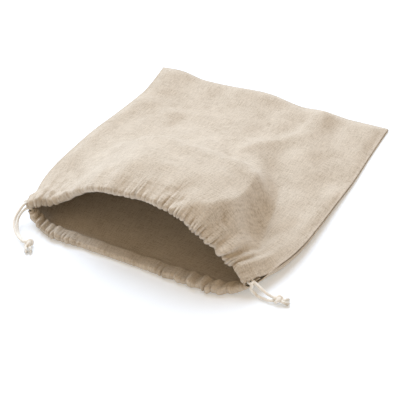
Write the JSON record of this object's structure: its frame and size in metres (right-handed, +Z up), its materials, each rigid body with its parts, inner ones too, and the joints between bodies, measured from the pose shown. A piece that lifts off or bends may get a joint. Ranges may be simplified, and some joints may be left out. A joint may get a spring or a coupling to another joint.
{
  "type": "linen drawstring bread bag",
  "caption": "Linen drawstring bag for bread, lying on one side with its mouth propped open and its knotted cords let out.",
  "frame": {"origin": "middle of the back panel's flat underside, on the surface that the bag lies on", "axes": "+Z up, -Y out of the mouth, +Y towards the closed end, +X to the right for someone facing the mouth"},
  "size_m": [0.3666, 0.4338, 0.099],
  "materials": {
    "linen": "natural undyed linen, plain weave, matt",
    "cotton": "cream twisted cotton cord, matt"
  },
  "bodies": {
    "root": {"front_panel": "linen", "back_panel": "linen", "left_loop": "cotton", "right_loop": "cotton", "left_strand_1": "cotton", "left_strand_2": "cotton", "right_strand_1": "cotton", "right_strand_2": "cotton", "left_knot": "cotton", "right_knot": "cotton", "left_tail_1": "cotton", "left_tail_2": "cotton", "right_tail_1": "cotton", "right_tail_2": "cotton"}
  },
  "joints": []
}
